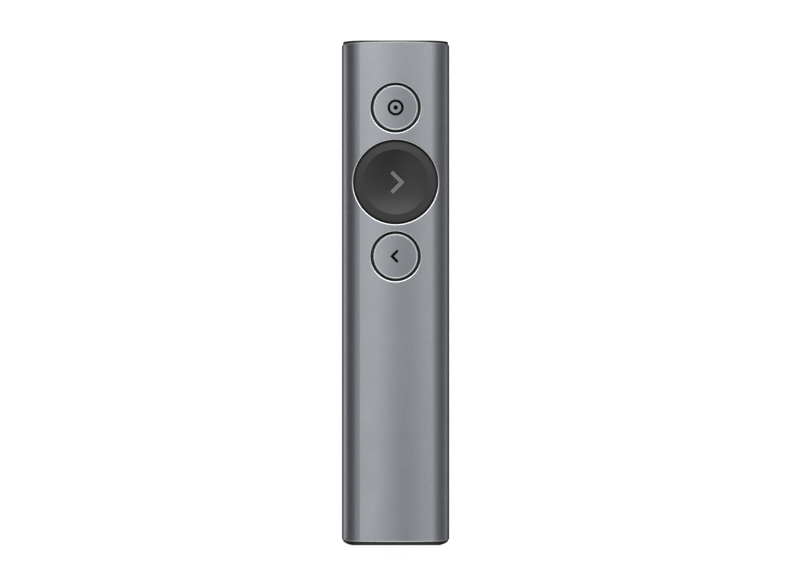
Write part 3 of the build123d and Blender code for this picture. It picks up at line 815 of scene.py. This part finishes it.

# How bright the floor looks in a reflection, by its distance beside the body and beyond its ends:
# a painted shadow of the body close by, painted shade beside it out to 180 mm, pale far off. A
# painted pale band glows along each side of the body, the right one darker. All are pairs of metres
# and a level.
FLOOR_SEEN = ((0, 0.0), (30 * MM, 0.24), (180 * MM, 0.24), (400 * MM, FLOOR_GLOW))
FLOOR_BEYOND = ((0, 0.0), (10 * MM, 0.2), (60 * MM, FLOOR_GLOW))
FLOOR_FADE = 60 * MM
PAINTED_SIDE_GLOW = ((0, 0.0), (6 * MM, 0.0), (12 * MM, 0.95), (24 * MM, 0.85), (36 * MM, 0.35), (60 * MM, 0.0))
RIGHT_GLOW_SHARE = 0.45
SIDE_GLOW_END_FADE = 6 * MM

# Level of the studio dome round the body's length line, as pairs of degrees from overhead, below 0
# to the left, and a level
STRIPS = (
    (-90, 0.19), (-66, 0.21), (-50, 0.30), (-34, 0.72), (-21, 0.54), (-12, 1.68), (-8, 1.57),
    (-2, 0.80), (4, 0.33), (9, 0.64), (14, 1.42), (19, 1.16), (38, 0.58), (60, 0.35), (90, 0.19),
)
# Level of the dome along the body, as pairs of degrees from the upright plane across it, below 0
# towards the tail, and a level
ENDS = (
    (-90, 1.20), (-60, 0.80), (-40, 0.50), (-22, 0.12), (-12, 0.42), (0, 0.60), (4, 0.80),
    (11, 1.15), (18, 3.90), (34, 0.90), (50, 0.60), (90, 1.50),
)
# How far ENDS takes the place of STRIPS, by the same angle. It fades out towards the sides, as the
# direction's part across the body grows from the first value of ENDS_FADE to the second.
ENDS_SHARE = ((-90, 1.0), (-20, 1.0), (-8, 0.0), (6, 0.0), (15, 1.0), (90, 1.0))
ENDS_FADE = (0.08, 0.42)
KEY_PLACE = (0.0, 0.85, 1.25)
KEY_SIZE = (1.8, 0.7)
KEY_RADIANCE = 1.6
CLIP_START = 10 * MM


def plain_colour(value):
    return (value, value, value, 1.0)


def level_ramp(tree, value, stops):
    """Light level by value, linear between the stops, which are pairs of a value and a level."""
    first = stops[0][0]
    last = stops[-1][0]
    top = max(level for _, level in stops)
    ramp = add_node(tree, "ShaderNodeValToRGB", {"Fac": spread(tree, value, first, last)})
    elements = ramp.color_ramp.elements
    for stop, level in stops[1:-1]:
        elements.new((stop - first) / (last - first)).color = plain_colour(level / top)
    elements[0].color = plain_colour(stops[0][1] / top)
    elements[-1].color = plain_colour(stops[-1][1] / top)
    return math_node(tree, "MULTIPLY", ramp.outputs["Color"], top)


def distance_outside(tree, axis):
    """How far a point lies beyond the body's box along an axis."""
    low, high = CAD_BOX
    half = (high["XYZ".index(axis)] - low["XYZ".index(axis)]) / 2
    return math_node(tree, "SUBTRACT", math_node(tree, "ABSOLUTE", coordinate(tree, axis)), half)


def floor_seen(tree):
    """What reflections and refractions see of the floor: painted shadow, shade and glow round the
    body.
    """
    beside = distance_outside(tree, "X")
    beyond = distance_outside(tree, "Y")
    sides = level_ramp(tree, beside, FLOOR_SEEN)
    in_line = spread(tree, beside, 0.0, FLOOR_FADE, 1.0, 0.0)
    ends = math_node(tree, "MULTIPLY", level_ramp(tree, beyond, FLOOR_BEYOND), in_line)
    floor = math_node(tree, "MAXIMUM", sides, ends)
    side_share = spread(tree, coordinate(tree, "X"), -MM, MM, 1.0, RIGHT_GLOW_SHARE)
    end_share = spread(tree, beyond, 0.0, SIDE_GLOW_END_FADE, 1.0, 0.0)
    share = math_node(tree, "MULTIPLY", side_share, end_share)
    side_glow = math_node(tree, "MULTIPLY", share, level_ramp(tree, beside, PAINTED_SIDE_GLOW))
    return math_node(tree, "ADD", floor, side_glow)


def make_floor():
    """A plain flat floor, white to the camera, that keeps a faint shadow."""
    bm = bmesh.new()
    bmesh.ops.create_circle(bm, cap_ends=True, radius=FLOOR_RADIUS, segments=FLOOR_SEGMENTS)
    mesh = mesh_from(bm, "floor")
    floor = add_object("floor", mesh)
    material = bpy.data.materials.new("floor_finish")
    material.use_nodes = True
    tree = material.node_tree
    tree.nodes.clear()
    path = add_node(tree, "ShaderNodeLightPath")
    glossy = path.outputs["Is Glossy Ray"]
    mirrored = math_node(tree, "MAXIMUM", glossy, path.outputs["Is Transmission Ray"])
    colour = mix_colours(tree, mirrored, plain_colour(FLOOR_DIFFUSE), plain_colour(0.0))
    glow_seen = math_node(tree, "MULTIPLY", path.outputs["Is Camera Ray"], FLOOR_GLOW)
    # Reflections see only the painted shadow and glow of floor_seen, in place of the lit floor.
    level = mix_levels(tree, mirrored, glow_seen, floor_seen(tree))
    paper = add_node(tree, "ShaderNodeBsdfDiffuse", {"Color": colour})
    glow = add_node(tree, "ShaderNodeEmission", {"Color": plain_colour(1.0), "Strength": level})
    both = add_node(tree, "ShaderNodeAddShader", {0: paper.outputs[0], 1: glow.outputs[0]})
    add_node(tree, "ShaderNodeOutputMaterial", {"Surface": both.outputs[0]})
    mesh.materials.append(material)


def make_world():
    """A soft dome: two strip lights along the body, dark sides, and a bright band past the nose."""
    world = bpy.data.worlds.new("studio")
    bpy.context.scene.world = world
    world.use_nodes = True
    tree = world.node_tree
    tree.nodes.clear()
    direction = add_node(tree, "ShaderNodeTexCoord").outputs["Generated"]
    x, y, z = add_node(tree, "ShaderNodeSeparateXYZ", {"Vector": direction}).outputs
    across = math_node(tree, "DEGREES", math_node(tree, "ARCTAN2", x, z))
    lengthwise = math_node(tree, "DEGREES", math_node(tree, "ARCSINE", y))
    fade = spread(tree, math_node(tree, "ABSOLUTE", x), *ENDS_FADE, 1.0, 0.0)
    share = math_node(tree, "MULTIPLY", level_ramp(tree, lengthwise, ENDS_SHARE), fade)
    strips = level_ramp(tree, across, STRIPS)
    level = mix_levels(tree, share, strips, level_ramp(tree, lengthwise, ENDS))
    inputs = {"Color": plain_colour(1.0), "Strength": level}
    background = add_node(tree, "ShaderNodeBackground", inputs)
    add_node(tree, "ShaderNodeOutputWorld", {"Surface": background.outputs[0]})


def make_key_light():
    """A long softbox across the body, above and beyond its nose."""
    light = bpy.data.lights.new("softbox", "AREA")
    light.shape = "RECTANGLE"
    light.size, light.size_y = KEY_SIZE
    light.energy = KEY_RADIANCE * math.pi * KEY_SIZE[0] * KEY_SIZE[1]
    lamp = add_object("softbox", light)
    lamp.location = KEY_PLACE
    lamp.rotation_euler = (-lamp.location).to_track_quat("-Z", "Y").to_euler()


def make_camera():
    data = bpy.data.cameras.new("camera")
    data.lens = LENS
    data.sensor_width = SENSOR_WIDTH
    data.clip_start = CLIP_START
    camera = add_object("camera", data)
    camera.location = (CAMERA_X, CAMERA_Y, CAMERA_HEIGHT)
    bpy.context.scene.camera = camera


# ---------------------------------------------------------------- the whole scene

finishes = dress_frame()
make_marks()
for button_name in ("pointer", "next", "back"):
    make_dome(button_name, finishes["dome_steel"])
make_floor()
make_world()
make_key_light()
make_camera()
bpy.context.scene.view_settings.view_transform = "Standard"

bpy.context.view_layer.update()
